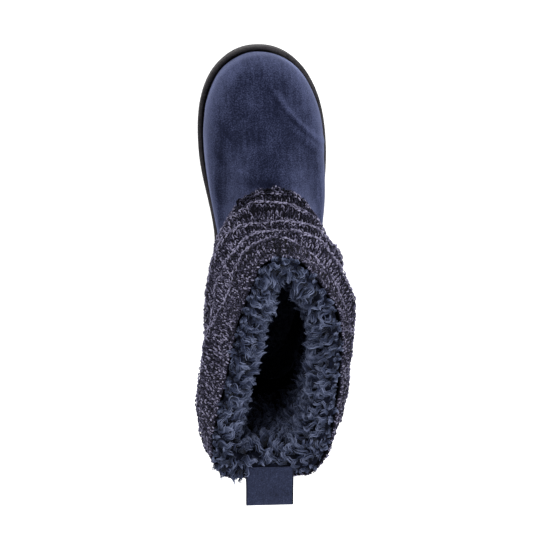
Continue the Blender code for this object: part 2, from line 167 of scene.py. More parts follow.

# How much lighter the suede is painted where it slopes (a painted sheen), per metre of a crease's height
# (painted highlight on ridges, painted shade in troughs), and at the toe (painted light)
PAINTED_SHEEN_ON_SLOPES = 0.195
PAINTED_SHEEN_STEEPEST = 0.38
PAINTED_LIGHT_ON_CREASES = 50.0
PAINTED_LIGHT_ON_TOE = 0.028

# Yarn and stitches: lengths in metres, bands as shares of the knit's run, crevices in courses
WALES = 132
COURSE = 0.0023
YARN = 0.00058
YARN_PIECES = 5
FABRIC_SINK = 0.0010
ROLL_SHARE = 0.034
HEM_BAND = 0.135
HEM_EDGE = 0.015
RIB_DEPTH = 0.0013
ROPE_LIFT = 0.0008
CREVICE_PLACE = 2.0
CREVICE_SPREAD = 0.9
SEAM_START = 0.80

# A stitch in the plain knit and in a rope: courses high, wales wide, thickness; and its legs' widths
STITCH_TALL = (1.25, 0.55)
STITCH_WIDE = (0.33, 0.85)
STITCH_THICK = (1.0, 1.30)
LEG_PROFILE = (0.60, 1.0, 1.05, 0.66)

# What each place in the knit adds to a stitch's tone, or takes from it: painted light on the folds and a
# painted highlight on their ropes; painted shade in the troughs, in the crevices above the ropes and in the
# hem's rib grooves; and a darker front seam
PAINTED_FOLD_LIGHT = 0.10
FOLD_SHADE = 0.22
TROUGH_SHADE = 0.10
CREVICE_SHADE = 0.36
RIB_SHADE = 0.55
SEAM_SHADE = 0.45
ROPE_PAINTED_HIGHLIGHT = 0.36

# Fleece, in metres; shares of the pile's run from the rim over the crown and down the inside
LOCK_PITCH = 0.0046
DEEP_PITCH = 1.8
DEEP_START = 0.42
DEEP_PAINTED_SHADE = 1.3
LOCK_WIDTH = 0.0052
LOCK_LENGTH = 0.0115
LOCK_STRANDS = 8
LOCK_PIECES = 4
STRAND = 0.00037
STRAND_ARCH = 0.0005
STRAND_SINK = 0.0008
STRAND_TAPER = (0.8, 1.0, 1.0, 0.98, 0.9, 0.75, 0.38)
SPILL_PLACE = 0.945
SPILL_SPREAD = 0.040
CROWN_SHARE = 0.20
PILE_FLOOR = 0.78
LOCKS_DOWN = 0.58
TAB_CLEARANCE = 0.001
FOOT_LINING = 0.0052

# A lock's swing in radians, and its angles at the root and the tip, on the crown and inside, in degrees
SWING = 0.40
ROOT_ANGLES = (52.0, 66.0)
TIP_ANGLES = (-18.0, 12.0)

# The photograph's view: where the camera looks, from how far, and its lens on a 36 mm sensor
VIEW_TARGET = Vector((0.0055, 0.068, 0.110))
VIEW_DISTANCE = 1.25
VIEW_FORWARD_TILT = math.radians(16.0)
VIEW_SIDE_TILT = math.radians(3.5)
VIEW_LENS = 102.3
WHITE = (1.0, 1.0, 1.0, 1.0)


def through(nodes, values, place):
    """A smooth curve through values at nodes, read at an array of places. A value may itself be an array."""
    nodes, place = np.asarray(nodes, float), np.asarray(place, float)
    values = np.stack([np.broadcast_to(np.asarray(value, float), place.shape) for value in values])
    last = len(nodes) - 1
    low = np.clip(np.searchsorted(nodes, place, side="left") - 1, 0, last - 1)
    before, high, after = np.maximum(low - 1, 0), low + 1, np.minimum(low + 2, last)

    def value_at(index):
        return np.take_along_axis(values, index[None], axis=0)[0]

    y0, y1 = value_at(low), value_at(high)
    slope_in = (y1 - value_at(before)) / (nodes[high] - nodes[before])
    slope_out = (value_at(after) - y0) / (nodes[after] - nodes[low])
    span = nodes[high] - nodes[low]
    t = (place - nodes[low]) / span
    square, cube = t * t, t * t * t
    return (
        (2 * cube - 3 * square + 1) * y0
        + (cube - 2 * square + t) * span * slope_in
        + (3 * square - 2 * cube) * y1
        + (cube - square) * span * slope_out
    )


def eased(share):
    held = np.clip(share, 0.0, 1.0)
    return held * held * (3.0 - 2.0 * held)


def mixed(low, high, share):
    return low + (high - low) * share


def unit(vectors):
    return vectors / np.maximum(np.linalg.norm(vectors, axis=-1, keepdims=True), 1e-12)


def along_last(y):
    return (y + HEEL_CENTRE) / LAST_LENGTH


def midline(y):
    places, values = zip(*MIDLINE)
    return through(places, values, np.clip(along_last(y), 0.0, 1.0)) * LAST_BALL_WIDTH


def toe_lift(y):
    return TOE_SPRING * np.maximum(0.0, (along_last(y) - SPRING_START) / (1.0 - SPRING_START)) ** 2


def sole_bottom(y):
    share = along_last(y)
    arch = ARCH_RISE * eased((share - ARCH_START) / ARCH_EASE) * eased((ARCH_END - share) / ARCH_EASE)
    return arch + toe_lift(y)


def tray_level(y):
    drop = eased((along_last(y) - TRAY_DROP_START) / TRAY_DROP_RUN)
    return mixed(SOLE_HEEL_THICKNESS, SOLE_BALL_THICKNESS, drop) + toe_lift(y)


def sized(values, length, height, width):
    """A section in metres, from its shares of a length, a height and a width."""
    ring = {name: values[name] * length - HEEL_CENTRE for name in ("front", "back")}
    ring.update({name: values[name] * height for name in ("front_high", "back_high", "sag")})
    ring.update({name: values[name] * width for name in WIDTHS})
    return ring


def section_table():
    """Every section from the feather line to the rim, one list of values for each size."""
    rings = []
    for row in FOOT_SECTIONS:
        values = dict(zip(FOOT_COLUMNS, row))
        ring = sized(values, LAST_LENGTH, INSTEP_HEIGHT, LAST_BALL_WIDTH)
        round_heel = HEEL_ROUNDNESS * mixed(0.75, 1.0, values["hold"])
        ring.update(front_round=TOE_ROUNDNESS, back_round=round_heel)
        ring.update(hold=values["hold"], on_sole=1.0, twist=0.0)
        rings.append(ring)
    for row in SHAFT_SECTIONS:
        values = dict(zip(SHAFT_COLUMNS, row))
        ring = sized(values, COLLAR_LENGTH, SHAFT_HEIGHT, COLLAR_WIDTH)
        ring.update({name: values[name] for name in ("twist", "front_round", "back_round")})
        ring.update(hold=0.0, on_sole=0.0)
        rings.append(ring)
    return {name: [ring[name] for ring in rings] for name in rings[0]}


SECTIONS = section_table()


def section(rows):
    """The sizes of the sections at an array of rows, one column of values for each size."""
    return {name: through(range(RIM_ROW + 1), values, rows)[:, None] for name, values in SECTIONS.items()}


def ring_points(ring, turns):
    """Points of sections. A turn runs from the back (0) by the lateral side to the front (pi) and round."""
    share = (1.0 - np.cos(turns)) / 2.0
    y = mixed(ring["back"], ring["front"], share)
    widths = [ring[name] for name in ("heel", "heel", "waist", "ball", "toe", "toe")]
    aside = np.abs(np.sin(turns))
    share = np.broadcast_to(share, y.shape)
    roundness = mixed(ring["back_round"], ring["front_round"], share)
    half = through(WIDTH_PLACES, widths, share) * aside ** roundness
    places, values = zip(*COLLAR_MIDLINE)
    middle = mixed(midline(np.zeros_like(y)), midline(y), ring["hold"]) + ring["sway"]
    middle = middle + ring["twist"] * COLLAR_WIDTH * through(places, values, share)
    floor = ring["on_sole"] * mixed(tray_level(np.zeros_like(y)), tray_level(y), ring["hold"])
    high = mixed(ring["back_high"], ring["front_high"], share) - ring["sag"] * aside * aside
    return np.stack([middle + np.where(np.sin(turns) >= 0.0, half, -half), y, floor + high], axis=-1)


def even_rings(ring):
    """Points and turns of sections, spaced evenly round each ring, each side by itself."""
    # Finer by the back and the front, where a section turns sharply
    near = np.linspace(0.0, 1.0, 140)
    by_the_back, by_the_front = 0.3 * near ** 4, math.pi - 0.2 * near ** 2
    half = np.unique(np.concatenate([np.linspace(0.0, math.pi, 200), by_the_back, by_the_front]))
    middle = ROUND // 2
    sides = []
    for side in (1.0, -1.0):
        points = ring_points(ring, side * half[None, :])
        steps = np.linalg.norm(np.diff(points, axis=1), axis=2)
        run = np.concatenate([np.zeros((len(steps), 1)), np.cumsum(steps, axis=1)], axis=1)
        even = [np.interp(np.linspace(0.0, length[-1], middle + 1), length, half) for length in run]
        sides.append(np.array(even))
    turns = np.concatenate([sides[0], 2.0 * math.pi - sides[1][:, -2:0:-1]], axis=1)
    return ring_points(ring, turns), turns


class Sheet:
    """A surface sampled on a fine grid: rows lie along it, columns run evenly once round it from the back."""

    def __init__(self, along, points):
        up = np.gradient(points, axis=0)
        around = np.roll(points, -1, axis=1) - np.roll(points, 1, axis=1)
        self.along = along
        self.points = points
        self.out = unit(np.cross(around, up))
        self.up = unit(up)
        self.around = unit(around)

    def read(self, field, along, place):
        """A field between the samples, at places from 0 to 1 round the surface."""
        row = np.interp(along, self.along, np.arange(len(self.along)))
        row_low = np.clip(row.astype(int), 0, len(self.along) - 2)
        column = np.mod(place, 1.0) * field.shape[1]
        column_low = np.floor(column).astype(int)
        across, up = (column - column_low)[:, None], (row - row_low)[:, None]
        left, right = column_low % field.shape[1], (column_low + 1) % field.shape[1]
        low = mixed(field[row_low, left], field[row_low, right], across)
        high = mixed(field[row_low + 1, left], field[row_low + 1, right], across)
        return mixed(low, high, up)

    def at(self, along, place, lift=0.0):
        """Points at a height over the surface."""
        along, place, lift = (np.ravel(value) for value in np.broadcast_arrays(along, place, lift))
        return self.read(self.points, along, place) + self.read(self.out, along, place) * lift[:, None]

    def lie(self, along, place):
        """The directions outwards, along and round the surface at each place."""
        return [unit(self.read(field, along, place)) for field in (self.out, self.up, self.around)]


def fold_crest(fold, turns):
    """The share of the knit's run at which a fold has its crest."""
    wander = np.sin(2 * turns + fold["phase"]) + 0.6 * np.sin(3 * turns + 2 * fold["phase"])
    return fold["place"] - fold["tilt"] * np.cos(turns) + fold["wander"] * wander


def fold_bulge(share, turns):
    """How far the folded knit stands out from the skin: its folds, and the lumps of a slack knit."""
    out = 0.06 * np.sin(9 * turns + 14 * share) + 0.05 * np.sin(17 * turns - 41 * share + 1.0)
    quarter = np.exp(-(((np.abs(turns - math.pi) - SLOUCH_TURN) / SLOUCH_SPREAD) ** 2))
    # Each fold is shallower at the back, a little uneven, and steeper below its crest than above
    for row in FOLDS:
        fold = dict(zip(FOLD_COLUMNS, row))
        away = share - fold_crest(fold, turns)
        depth = fold["depth"] + fold["lateral"] * np.sin(turns) + fold["slouch"] * quarter
        depth = depth - 0.28 * np.maximum(np.cos(turns), 0.0)
        depth = depth + 0.10 * np.sin(5 * turns + 3 * fold["phase"])
        spread = np.where(away < 0.0, 0.85, 1.15) * fold["spread"]
        out = out + depth * np.exp(-np.abs(away / spread) ** 1.8)
    return FOLD_DEPTH * np.maximum(out, 0.0)


def knit_sheets():
    """The folded knit's inner face, and its outer face with the hem and the rim rolled round."""
    shares = np.linspace(0.0, 1.0, KNIT_STEPS)
    points, turns = even_rings(section(mixed(HEM_ROW, RIM_ROW, shares)))
    bulge = fold_bulge(shares[:, None], turns)
    free = eased(shares / 0.1) * eased((1.0 - shares) / 0.1)
    back = points + Sheet(shares, points).out * (GAP + bulge)[..., None]
    back[..., 2] -= FOLD_DROOP * bulge * free[:, None]
    inner = Sheet(shares, back)
    radius = KNIT_WALL / 2.0
    middle = back + inner.out * radius
    angles = np.linspace(0.0, math.pi, 16)[1:]
    rolled = []
    for end, sense in ((0, -1.0), (-1, 1.0)):
        out, on = inner.out[end], sense * inner.up[end]
        rolled.append(np.array([
            middle[end] + (out * math.cos(angle) + on * math.sin(angle)) * radius for angle in angles
        ]))
    face = np.concatenate([rolled[0][::-1], middle + inner.out * radius, rolled[1]])
    roll = angles / math.pi * ROLL_SHARE
    return inner, Sheet(np.concatenate([-roll[::-1], shares, 1.0 + roll]), face)


def pile_sheet(floor):
    """The pile's face from the knit's rim over the crown and down the inside, a share of the pile deep."""
    along = np.linspace(0.0, 1.0, PILE_STEPS)
    crown = np.clip(along / CROWN_SHARE, 0.0, 1.0)
    down = np.clip((along - CROWN_SHARE) / (1.0 - CROWN_SHARE), 0.0, 1.0)
    place = 1.0 - down
    depth = floor * crown ** 0.8 * FLEECE_PILE
    table = dict(zip(PILE_COLUMNS, zip(*PILE)))
    places = table.pop("place")
    reach = {name: (depth * through(places, values, place))[:, None] for name, values in table.items()}
    ring = section(mixed(HEM_ROW, RIM_ROW, place))
    for name in ("heel", "waist", "ball", "toe"):
        ring[name] = ring[name] - reach["side"]
    ring["front"] = ring["front"] - reach["front"]
    ring["back"] = ring["back"] + reach["back"]
    ring["sway"] = ring["sway"] + reach["sway"]
    points, _ = even_rings(ring)
    swell = 0.5 * FLEECE_CROWN * np.sin(np.pi * np.clip(0.1 + 0.75 * crown, 0.0, 1.0)) * (1.0 - down) ** 4
    points[..., 2] += swell[:, None]
    return Sheet(along, points)


def run_of(line):
    """How far along a line of points each point lies."""
    return np.concatenate([[0.0], np.cumsum(np.linalg.norm(np.diff(line, axis=0), axis=1))])


def put(name, data):
    """Puts a new object with this data into the scene, at the origin."""
    piece = bpy.data.objects.new(name, data)
    bpy.context.scene.collection.objects.link(piece)
    return piece


def mark(mesh, label, values):
    """Gives every point of a mesh a value that a material reads."""
    layer = mesh.attributes.new(label, "FLOAT", "POINT")
    layer.data.foreach_set("value", values.astype(np.float32).ravel())


def sleeve(name, place, columns, levels, closed=True):
    """A sleeve from a grid: place(along, round) puts its points. A closed one ends where it starts."""
    bm = bmesh.new()
    bmesh.ops.create_grid(bm, x_segments=columns, y_segments=levels, size=0.5)
    flat = np.array([vert.co[:2] for vert in bm.verts]) + 0.5
    along = np.where((flat[:, 1] > 0.9999) & closed, 0.0, flat[:, 1])
    for vert, point in zip(bm.verts, place(along, flat[:, 0])):
        vert.co = point
    bmesh.ops.remove_doubles(bm, verts=bm.verts, dist=2e-6)
    return piece_from(bm, name)


def piece_from(bm, name):
    """Finishes a bmesh as an object at the origin, smooth and facing out."""
    bmesh.ops.recalc_face_normals(bm, faces=bm.faces)
    mesh = bpy.data.meshes.new(name)
    bm.to_mesh(mesh)
    bm.free()
    mesh.shade_smooth()
    return put(name, mesh)


def dress(piece, material, slot, *replaced):
    """Gives a piece its material and body, and hides the solids that it stands for. Its slot is not used."""
    piece.data.materials.clear()
    piece.data.materials.append(material)
    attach(piece, "root")
    if replaced:
        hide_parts(*replaced)
    return piece


def thread_template(sides, rings):
    """A closed straight thread of radius 1 along Z from 0 to 1: its points and its faces."""
    bm = bmesh.new()
    bmesh.ops.create_grid(bm, x_segments=sides, y_segments=rings - 1, size=0.5)
    for vert in bm.verts:
        turn = 2.0 * math.pi * (vert.co.x + 0.5)
        vert.co = (math.cos(turn), math.sin(turn), vert.co.y + 0.5)
    bmesh.ops.remove_doubles(bm, verts=bm.verts, dist=1e-4)
    bmesh.ops.holes_fill(bm, edges=bm.edges, sides=sides)
    bmesh.ops.recalc_face_normals(bm, faces=bm.faces)
    bm.verts.index_update()
    points = np.array([vert.co[:] for vert in bm.verts])
    faces = [[vert.index for vert in face.verts] for face in bm.faces]
    bm.free()
    return points, faces


def threads(name, template, paths, widths, heights, lean, marks):
    """One mesh of many threads laid along paths. lean is the way that a thread's flat side faces."""
    shape, faces = template
    rings = paths.shape[1]
    level = np.rint(shape[:, 2] * (rings - 1)).astype(int)
    ahead = unit(np.gradient(paths, axis=1))
    side = unit(np.cross(lean[:, None, :], ahead))
    rise = np.cross(ahead, side)
    points = (
        paths[:, level]
        + side[:, level] * (widths[:, level] * shape[:, 0])[..., None]
        + rise[:, level] * (heights[:, level] * shape[:, 1])[..., None]
    )
    count, per_thread = points.shape[:2]
    corner = np.concatenate([np.array(face) for face in faces])
    sizes = np.array([len(face) for face in faces])
    corners = (corner[None, :] + np.arange(count)[:, None] * per_thread).ravel()
    starts = np.concatenate([[0], np.cumsum(np.tile(sizes, count))[:-1]])
    mesh = bpy.data.meshes.new(name)
    mesh.vertices.add(count * per_thread)
    mesh.vertices.foreach_set("co", points.astype(np.float32).ravel())
    mesh.loops.add(corners.size)
    mesh.loops.foreach_set("vertex_index", corners.astype(np.int32))
    mesh.polygons.add(starts.size)
    mesh.polygons.foreach_set("loop_start", starts.astype(np.int32))
    mesh.update(calc_edges=True)
    for label, values in marks.items():
        mark(mesh, label, np.broadcast_to(values, (count, rings))[:, level])
    mesh.shade_smooth()
    return put(name, mesh)


def tint(red, green, blue):
    """A colour from its 0 to 255 screen values."""
    return tuple((value / 255.0) ** 2.2 for value in (red, green, blue)) + (1.0,)


def fill(node, values):
    """Gives a node's inputs a value or a link each."""
    for label, value in values.items():
        if isinstance(value, bpy.types.NodeSocket):
            node.id_data.links.new(value, node.inputs[label])
        else:
            node.inputs[label].default_value = value


def add_node(tree, kind, values, **settings):
    node = tree.nodes.new(kind)
    for label, value in settings.items():
        setattr(node, label, value)
    fill(node, values)
    return node


def new_material(name, roughness, specular):
    material = bpy.data.materials.new(name)
    material.use_nodes = True
    shader = material.node_tree.nodes["Principled BSDF"]
    fill(shader, {"Roughness": roughness, "Specular IOR Level": specular})
    return material, material.node_tree, shader


def paint(tree, shader, factor, *stops):
    """Colours a shader by a ramp with (place, colour) stops."""
    node = add_node(tree, "ShaderNodeValToRGB", {"Fac": factor})
    elements = node.color_ramp.elements
    while len(elements) < len(stops):
        elements.new(0.5)
    for element, (place, colour) in zip(elements, stops):
        element.position = place
        element.color = colour
    fill(shader, {"Base Color": node.outputs["Color"]})


def add_up(tree, *parts):
    """The sum of (socket, share) parts."""
    total = 0.0
    for socket, share in parts:
        node = add_node(tree, "ShaderNodeMath", {0: socket, 1: share, 2: total}, operation="MULTIPLY_ADD")
        total = node.outputs[0]
    return total


def noise(tree, scale, detail, roughness, distortion=0.0, stretch=(1.0, 1.0, 1.0)):
    """Noise in the object's own space, finer along the axes that are stretched more."""
    where = add_node(tree, "ShaderNodeTexCoord", {}).outputs["Object"]
    where = add_node(tree, "ShaderNodeMapping", {"Vector": where, "Scale": stretch}).outputs["Vector"]
    return add_node(tree, "ShaderNodeTexNoise", {
        "Vector": where, "Scale": scale, "Detail": detail, "Roughness": roughness, "Distortion": distortion,
    }).outputs["Fac"]


def attribute(tree, name):
    return add_node(tree, "ShaderNodeAttribute", {}, attribute_name=name).outputs["Fac"]


def relief(tree, shader, height, strength, distance):
    bump = add_node(tree, "ShaderNodeBump", {"Height": height, "Strength": strength, "Distance": distance})
    fill(shader, {"Normal": bump.outputs["Normal"]})


def new_group(name, inputs, outputs):
    """An empty shader node group with named value inputs and outputs."""
    group = bpy.data.node_groups.new(name, "ShaderNodeTree")
    for label, value in inputs.items():
        socket = group.interface.new_socket(label, in_out="INPUT", socket_type="NodeSocketFloat")
        socket.default_value = value
    for label in outputs:
        group.interface.new_socket(label, in_out="OUTPUT", socket_type="NodeSocketFloat")
    return group, group.nodes.new("NodeGroupInput").outputs, group.nodes.new("NodeGroupOutput").inputs


def nap_group():
    """The nap of suede: broad brushed patches and short fibre flecks."""
    group, given, result = new_group("suede_nap", {"Patches": 38.0, "Fibres": 1100.0}, ("Shade", "Fibre"))
    patches = noise(group, given["Patches"], detail=5.0, roughness=0.62, distortion=0.6)
    fibres = noise(group, given["Fibres"], detail=3.0, roughness=0.7)
    streaks = noise(group, given["Patches"], 2.0, 0.5, distortion=0.3, stretch=(9.0, 1.0, 3.0))
    shade = add_up(group, (patches, 0.15), (streaks, 0.09), (fibres, 0.39))
    group.links.new(shade, result["Shade"])
    group.links.new(fibres, result["Fibre"])
    return group


def thread_group():
    """The flecks of a marled thread and the fuzz of its fibres."""
    group, given, result = new_group("thread_marl", {"Fleck": 420.0, "Fibres": 3200.0}, ("Marl", "Fuzz"))
    marl = noise(group, given["Fleck"], detail=2.0, roughness=0.6, distortion=1.2)
    fuzz = noise(group, given["Fibres"], detail=2.0, roughness=0.7)
    group.links.new(marl, result["Marl"])
    group.links.new(fuzz, result["Fuzz"])
    return group


NAP = nap_group()
THREAD = thread_group()


def suede_material(name, dark, middle, light, patches):
    """Suede, its nap lighter or darker by an attribute that holds painted light: a painted sheen where the
    surface slopes, painted highlight and shade along the creases, and the tab's darker edges.
    """
    material, tree, shader = new_material(name, roughness=0.92, specular=0.12)
    nap = add_node(tree, "ShaderNodeGroup", {"Patches": patches}, node_tree=NAP)
    shade = add_up(tree, (nap.outputs["Shade"], 1.0), (attribute(tree, "slope"), 1.0))
    paint(tree, shader, shade, (0.20, dark), (0.355, middle), (0.575, light))
    relief(tree, shader, nap.outputs["Fibre"], strength=0.45, distance=0.0006)
    fill(shader, {"Sheen Weight": 0.4, "Sheen Roughness": 0.5, "Sheen Tint": tint(150, 160, 205)})
    return material


def yarn_material():
    """Marled yarn: each stitch has its tone, broken by flecks along the thread."""
    material, tree, shader = new_material("marled_yarn", roughness=0.95, specular=0.15)
    thread = add_node(tree, "ShaderNodeGroup", {"Fleck": 620.0}, node_tree=THREAD)
    shade = add_up(tree, (attribute(tree, "tone"), 0.50), (thread.outputs["Marl"], 0.80))
    paint(
        tree, shader, shade, (0.46, tint(7, 7, 13)), (0.59, tint(33, 32, 44)),
        (0.73, tint(70, 68, 87)), (0.94, tint(142, 139, 164)),
    )
    relief(tree, shader, thread.outputs["Fuzz"], strength=0.6, distance=0.0004)
    fill(shader, {"Sheen Weight": 0.15, "Sheen Tint": tint(150, 150, 195)})
    return material


def fleece_material():
    """Fleece strands, with painted shade at the root and painted light at the tip."""
    material, tree, shader = new_material("curly_fleece", roughness=0.8, specular=0.25)
    thread = add_node(tree, "ShaderNodeGroup", {}, node_tree=THREAD)
    along, tone = attribute(tree, "along"), attribute(tree, "tone")
    shade = add_up(tree, (along, 0.45), (tone, 0.35), (thread.outputs["Marl"], 0.20))
    light = tint(112, 120, 148)
    paint(tree, shader, shade, (0.28, tint(3, 6, 17)), (0.50, tint(42, 49, 72)), (0.82, light))
    relief(tree, shader, thread.outputs["Fuzz"], strength=0.4, distance=0.0003)
    fill(shader, {"Sheen Weight": 0.25, "Sheen Roughness": 0.35, "Sheen Tint": tint(160, 175, 215)})
    return material


def cloth_material(name, dark, light, scale, depth):
    """A matt cloth or pile ground with a soft mottle."""
    material, tree, shader = new_material(name, roughness=0.97, specular=0.1)
    mottle = noise(tree, scale, detail=4.0, roughness=0.65)
    paint(tree, shader, mottle, (0.35, dark), (0.65, light))
    relief(tree, shader, mottle, strength=0.8, distance=depth)
    return material


def rubber_material():
    """Matt moulded rubber with a fine grain and faint dusty patches."""
    material, tree, shader = new_material("black_rubber", roughness=0.6, specular=0.12)
    patches = noise(tree, 26.0, detail=5.0, roughness=0.65)
    specks = noise(tree, 650.0, detail=3.0, roughness=0.7)
    dust = add_up(tree, (patches, 0.5), (specks, 0.5))
    paint(tree, shader, dust, (0.36, tint(28, 27, 30)), (0.64, tint(66, 64, 66)))
    rough = add_node(tree, "ShaderNodeMapRange", {"Value": dust, "To Min": 0.62, "To Max": 0.82})
    fill(shader, {"Roughness": rough.outputs["Result"]})
    grain = noise(tree, 1400.0, detail=2.0, roughness=0.5)
    relief(tree, shader, grain, strength=0.25, distance=0.0003)
    return material


def crease_shape(points):
    """Soft creases of the foot, in plan: the flex crease over the lateral toe and shallow ones beside it."""
    x, y = points[:, 0], points[:, 1]
    out = np.zeros(len(points))
    for start, end, trough, ridge, width in CREASES:
        run = np.subtract(end, start)
        length = math.hypot(*run)
        ahead = run / length
        share = ((x - start[0]) * ahead[0] + (y - start[1]) * ahead[1]) / length
        bow = 0.05 * length * np.sin(np.pi * np.clip(share, 0.0, 1.0))
        away = (x - start[0]) * ahead[1] - (y - start[1]) * ahead[0] - bow
        fade = eased(share / 0.25 + 0.5) * eased((1.0 - share) / 0.25 + 0.5)
        high = ridge * np.exp(-(((away + width) / width) ** 2))
        out += fade * (high - trough * np.exp(-((away / width) ** 2)))
    return out


def make_upper():
    """The suede foot, closed: its face, a turned top edge and the flesh side inside."""
    def place(along, around):
        outer = along < SUEDE_SHARE
        rows = SUEDE_TOP_ROW * np.where(outer, along / SUEDE_SHARE, (1.0 - along) / (1.0 - SUEDE_SHARE))
        face = SKIN.at(rows, around)
        wave = 0.0004 * np.sin(face[:, 1] * 95.0 + face[:, 0] * 60.0) * np.sin(face[:, 0] * 130.0 + 1.0)
        lift = crease_shape(face) + wave - np.where(outer, 0.0, SUEDE_WALL)
        points = SKIN.at(rows, around, lift)
        points[:, 2] += SEAT_GAP * eased(1.0 - rows)
        return points

    piece = dress(sleeve("suede_upper", place, columns=240, levels=120), SUEDE, "suede", "upper")
    points = np.array([vert.co[:] for vert in piece.data.vertices])
    slope = 1.0 - np.abs(np.array([vert.normal.z for vert in piece.data.vertices]))
    on_toe = eased((along_last(points[:, 1]) - 0.68) / 0.22) * (1.0 - slope) ** 2
    # The slope mark is painted light: a painted sheen where the suede slopes away, painted light at the toe,
    # and painted highlight and shade along the creases
    suede_painted_light = PAINTED_SHEEN_ON_SLOPES * np.sqrt(np.minimum(slope, PAINTED_SHEEN_STEEPEST)) + PAINTED_LIGHT_ON_TOE * on_toe
    suede_painted_light += PAINTED_LIGHT_ON_CREASES * crease_shape(points)
    mark(piece.data, "slope", suede_painted_light)


def make_knit_ground():
    """The knit's dark ground under its stitches, closed: outer face, rolled ends and inner face."""
    def place(along, around):
        share = mixed(-ROLL_SHARE, 1.0 + ROLL_SHARE, along / KNIT_SHARE)
        face = KNIT.at(share, around, -FABRIC_SINK - RIB_DEPTH * eased((HEM_BAND - share) / HEM_EDGE))
        down = mixed(1.0, 0.0, (along - KNIT_SHARE) / (1.0 - KNIT_SHARE))
        back = KNIT_BACK.at(down, around, FABRIC_SINK)
        return np.where((along < KNIT_SHARE)[:, None], face, back)

    dress(sleeve("knit_ground", place, columns=140, levels=100), KNIT_GROUND, "knit", "knit_shaft")


def course_shares():
    """Where the courses lie along the knit, a course apart over its folded face."""
    fine = np.linspace(-ROLL_SHARE * 0.6, 1.0 + ROLL_SHARE * 0.95, 900)
    run = np.mean([run_of(KNIT.at(fine, index / 8.0)) for index in range(8)], axis=0)
    return np.interp(np.arange(int(run[-1] / COURSE)) * COURSE, run, fine)


def ropes(share, spacing, wale):
    """How much each stitch belongs to a fold's rope of yarn, and to the crevice above the rope, where painted
    shadow goes.
    """
    ropy, crevice = np.zeros(share.size), np.zeros(share.size)
    for row in FOLDS:
        fold = dict(zip(FOLD_COLUMNS, row))
        phase = fold["phase"]
        courses_up = (share - fold_crest(fold, 2.0 * math.pi * wale / WALES)) / spacing
        crevice = np.maximum(crevice, np.exp(-((courses_up - CREVICE_PLACE) / CREVICE_SPREAD) ** 2))
        whole = np.sin(wale * 0.31 + phase) + np.sin(wale * 0.83 + 2.0 * phase) > -0.9
        ropy = np.maximum(ropy, whole * (1.25 - np.abs(courses_up)))
    return np.minimum(ropy, 1.0), crevice


def knit_painted_light_and_seam(share, wale, hem, groove, crevice):
    """What a stitch's place adds to its tone: painted light on folds, painted shade in troughs, crevices and
    rib grooves, and less in the cuff's seam.
    """
    cuff = eased((share - SEAM_START) / 0.08)
    stand = np.clip(fold_bulge(share, 2.0 * math.pi * wale / WALES) / FOLD_DEPTH, 0.0, 1.0)
    stand = mixed(stand, 0.21, cuff)
    tone = PAINTED_FOLD_LIGHT * (1.0 - cuff) + FOLD_SHADE * (stand + 0.12)
    tone = tone - TROUGH_SHADE * eased((0.20 - stand) / 0.18)
    tone = mixed(tone, 0.06 - RIB_SHADE * groove, hem) - CREVICE_SHADE * crevice
    return tone - SEAM_SHADE * ((wale == WALES // 2) & (share > SEAM_START))


def make_yarn():
    """The stitches, two legs of yarn to each, in pieces from the hem to the rim."""
    random = np.random.default_rng(11)
    shares = course_shares()
    spacings = np.gradient(shares)
    rings = len(LEG_PROFILE)
    template = thread_template(3, rings)
    for number, band in enumerate(np.array_split(np.arange(len(shares)), YARN_PIECES)):
        course, wale = [grid.ravel() for grid in np.meshgrid(band, np.arange(WALES), indexing="ij")]
        share, spacing, count = shares[course], spacings[course], course.size
        ropy, crevice = ropes(share, spacing, wale)
        hem = eased((HEM_BAND - share) / HEM_EDGE)
        groove = mixed(0.25 * (wale % 2), 1.0 * (wale % 4 >= 2), hem)
        painted_shade_and_seam = knit_painted_light_and_seam(share, wale, hem, groove, crevice)
        paths, sizes, lean, tones = [], [], [], []
        for leg in (-1.0, 1.0):
            wander = random.normal(0.0, 0.08, count)
            lift = ropy * ROPE_LIFT - RIB_DEPTH * groove + random.normal(0.0, 0.00028, count)
            tall = mixed(*STITCH_TALL, ropy) * random.uniform(0.85, 1.2, count)
            wide = mixed(*STITCH_WIDE, ropy) * random.uniform(0.7, 1.2, count)
            path = []
            for step in np.linspace(-0.5, 0.5, rings):
                along = share + tall * step * spacing
                place = (wale + 0.5 + wander + leg * (0.05 + wide * (step + 0.5))) / WALES
                path.append(KNIT.at(along, place, lift - YARN * (0.9 + 2.4 * step * step)))
            paths.append(np.stack(path, axis=1))
            lean.append(KNIT.lie(share, (wale + 0.5) / WALES)[0])
            size = YARN * random.uniform(0.80, 1.25, count) * mixed(*STITCH_THICK, ropy)
            sizes.append(size[:, None] * np.array(LEG_PROFILE))
            # Each stitch's own random tone, with a painted highlight on the ropes and the painted light and
            # shade of its place
            tone = random.beta(1.0, 1.3, count) * mixed(1.0, 0.7, ropy) + ROPE_PAINTED_HIGHLIGHT * ropy + painted_shade_and_seam
            tones.append(np.clip(tone, 0.0, 1.0)[:, None])
        sizes = np.concatenate(sizes)
        piece = threads(
            f"knit_yarn_{number + 1}", template, np.concatenate(paths), sizes, 0.85 * sizes,
            np.concatenate(lean), {"tone": np.concatenate(tones)},
        )
        dress(piece, YARN_FINISH, "knit")


def make_fleece_ground():
    """The fleece's backing, closed: under the pile's face, and against the knit behind."""
    under = pile_sheet(PILE_FLOOR - 0.12)

    def place(along, around):
        front = under.at(along / PILE_SHARE, around)
        up = np.clip((along - PILE_SHARE) / (1.0 - PILE_SHARE), 0.0, 1.0)
        row = mixed(HEM_ROW, RIM_ROW, up)
        behind = mixed(SUEDE_WALL + 3.0 * GAP, GAP, eased((row - SUEDE_TOP_ROW - 0.12) / 0.5))
        back = SKIN.at(row, around, -behind)
        return np.where((along < PILE_SHARE)[:, None], front, back)

    dress(sleeve("fleece_ground", place, columns=130, levels=70), FLEECE_BACKING_PAINTED_SHADE, "fleece", "fleece_lining")


